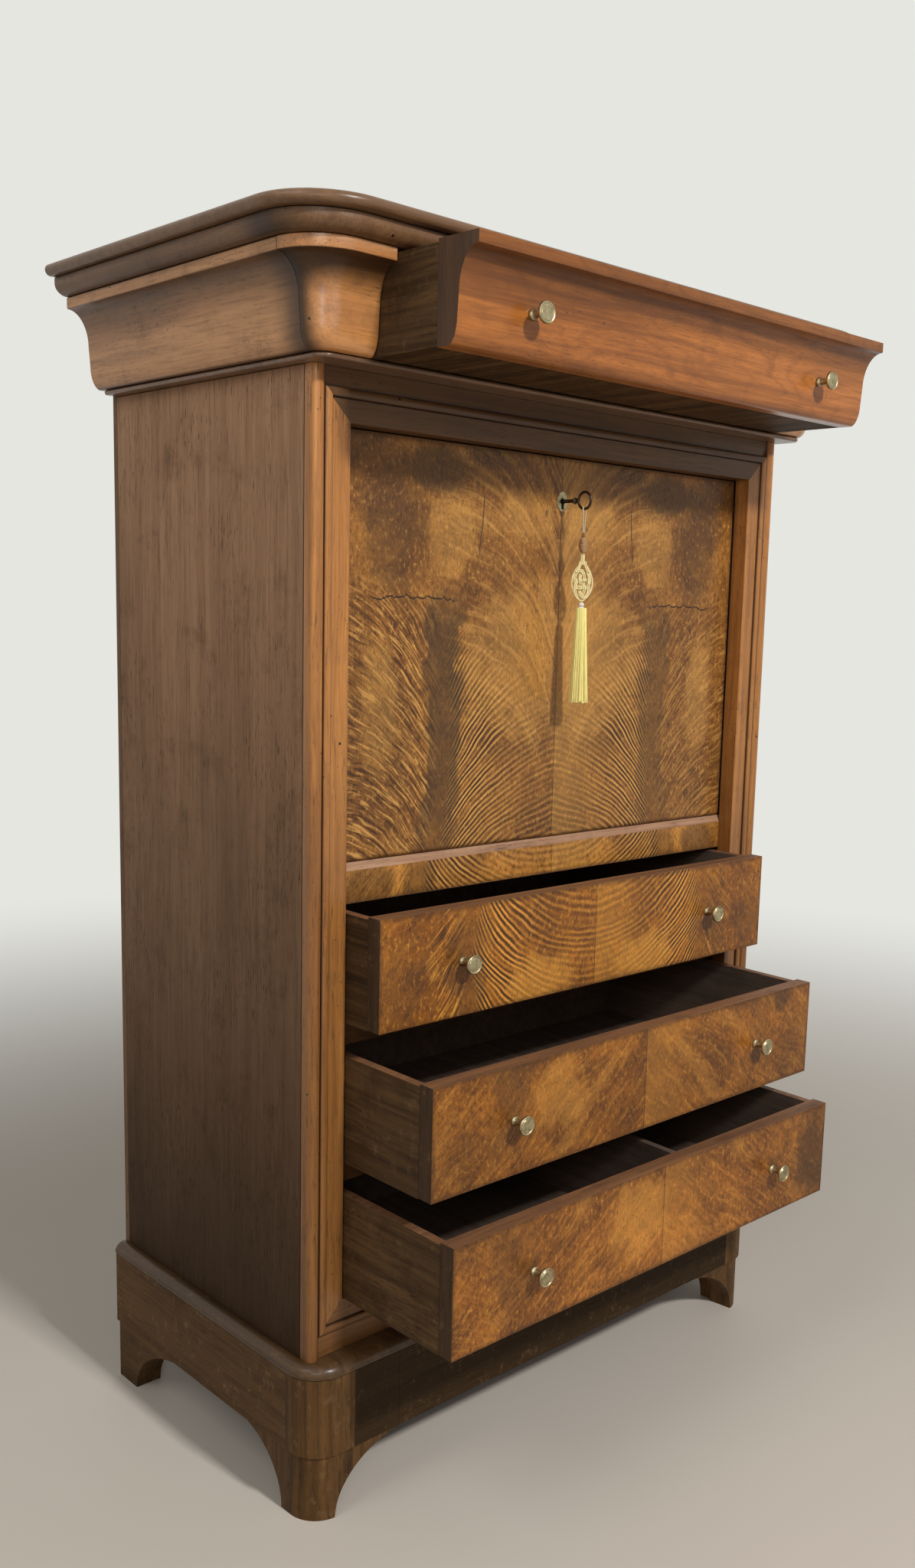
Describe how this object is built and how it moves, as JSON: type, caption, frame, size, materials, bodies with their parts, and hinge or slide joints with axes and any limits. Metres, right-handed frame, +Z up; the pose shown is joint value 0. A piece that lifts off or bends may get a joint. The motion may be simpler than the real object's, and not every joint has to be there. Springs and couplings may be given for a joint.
{
  "type": "fall-front secretaire",
  "caption": "Walnut fall-front secretaire with an ogee cornice drawer, flame-veneered fall with key and tassel, drawers below and a plinth on bracket feet.",
  "frame": {"origin": "on the floor under the middle of the bounding box, with the drawers pulled out as stored", "axes": "+Z up, front faces -Y, +X is the right side seen from the front"},
  "size_m": [0.988, 0.642, 1.47],
  "materials": {
    "side_walnut": "old wax polish",
    "cornice_walnut": "old wax polish",
    "frame_walnut": "old wax polish",
    "flame_veneer": "old wax polish",
    "plinth_walnut": "old wax polish",
    "drawer_oak": "bare aged wood",
    "brass": "aged polish",
    "iron": "dark forged",
    "turned_wood": "old wax polish",
    "silk": "silk thread"
  },
  "bodies": {
    "case": {"side_panel_left": "side_walnut", "stile_left": "frame_walnut", "side_panel_right": "side_walnut", "stile_right": "frame_walnut", "back_panel": "side_walnut", "frame_bottom_rail": "frame_walnut", "frame_top_rail": "frame_walnut", "carcass_bottom": "drawer_oak", "case_top": "drawer_oak", "drawer_divider_lower": "flame_veneer", "drawer_divider_upper": "flame_veneer", "mid_rail": "flame_veneer", "writing_floor": "drawer_oak", "astragal": "cornice_walnut", "cornice_side_left": "cornice_walnut", "cornice_corner_left": "cornice_walnut", "cornice_side_right": "cornice_walnut", "cornice_corner_right": "cornice_walnut", "top_moulding": "cornice_walnut", "top_board": "cornice_walnut", "plinth_bullnose": "plinth_walnut", "plinth_front": "plinth_walnut", "plinth_side_left": "plinth_walnut", "plinth_corner_left": "plinth_walnut", "foot_front_left": "plinth_walnut", "foot_rear_left": "plinth_walnut", "plinth_side_right": "plinth_walnut", "plinth_corner_right": "plinth_walnut", "foot_front_right": "plinth_walnut", "foot_rear_right": "plinth_walnut", "nest_shelf": "drawer_oak"},
    "cornice_drawer": {"cornice_drawer_front": "cornice_walnut", "cornice_drawer_tray": "drawer_oak", "cornice_drawer_knob_left": "brass", "cornice_drawer_knob_right": "brass"},
    "upper_drawer": {"upper_drawer_front": "flame_veneer", "upper_drawer_tray": "drawer_oak", "upper_drawer_knob_left": "brass", "upper_drawer_knob_right": "brass"},
    "middle_drawer": {"middle_drawer_front": "flame_veneer", "middle_drawer_tray": "drawer_oak", "middle_drawer_knob_left": "brass", "middle_drawer_knob_right": "brass"},
    "lower_drawer": {"lower_drawer_front": "flame_veneer", "lower_drawer_tray": "drawer_oak", "lower_drawer_knob_left": "brass", "lower_drawer_knob_right": "brass"},
    "fall": {"fall_front": "flame_veneer", "fall_lever_left": "iron", "fall_lever_right": "iron", "lock_case": "iron", "escutcheon": "brass"},
    "bolt": {"lock_bolt": "iron"},
    "key": {"key": "iron"},
    "tassel_loop": {"tassel_loop": "silk"},
    "tassel": {"tassel_bead": "turned_wood", "tassel_knot": "silk", "tassel_skirt": "silk"},
    "small_drawer_left": {"small_drawer_left": "drawer_oak"},
    "small_drawer_right": {"small_drawer_right": "drawer_oak"}
  },
  "joints": [
    {"name": "cornice_drawer_slide", "type": "slide", "parent": "case", "child": "cornice_drawer", "axis": [0, -1, 0], "range_m": [-0.122, 0.178]},
    {"name": "upper_drawer_slide", "type": "slide", "parent": "case", "child": "upper_drawer", "axis": [0, -1, 0], "range_m": [-0.084, 0.216]},
    {"name": "middle_drawer_slide", "type": "slide", "parent": "case", "child": "middle_drawer", "axis": [0, -1, 0], "range_m": [-0.179, 0.121]},
    {"name": "lower_drawer_slide", "type": "slide", "parent": "case", "child": "lower_drawer", "axis": [0, -1, 0], "range_m": [-0.218, 0.082]},
    {"name": "fall_hinge", "type": "hinge", "parent": "case", "child": "fall", "pos_m": [0, -0.074, 0.7848], "axis": [1, 0, 0], "range_deg": [0, 90]},
    {"name": "key_turn", "type": "hinge", "parent": "fall", "child": "key", "pos_m": [0, -0.079, 1.2125], "axis": [0, 1, 0], "range_deg": [0, 90]},
    {"name": "bolt_slide", "type": "slide", "parent": "fall", "child": "bolt", "axis": [0, 0, 1], "range_m": [0, 0.012]},
    {"name": "loop_swing", "type": "hinge", "parent": "key", "child": "tassel_loop", "pos_m": [0, -0.119, 1.202], "axis": [0, 1, 0], "range_deg": [-90, 0]},
    {"name": "tassel_swing", "type": "hinge", "parent": "tassel_loop", "child": "tassel", "pos_m": [0, -0.119, 1.1708], "axis": [-1, 0, 0], "range_deg": [-5, 92]},
    {"name": "small_drawer_left_slide", "type": "slide", "parent": "case", "child": "small_drawer_left", "axis": [0, -1, 0], "range_m": [0, 0.12]},
    {"name": "small_drawer_right_slide", "type": "slide", "parent": "case", "child": "small_drawer_right", "axis": [0, -1, 0], "range_m": [0, 0.12]}
  ],
  "couplings": [
    {"joint": "bolt_slide", "follows": "key_turn", "m_per_rad": 0.0076318},
    {"joint": "loop_swing", "follows": "key_turn", "ratio": -1}
  ]
}
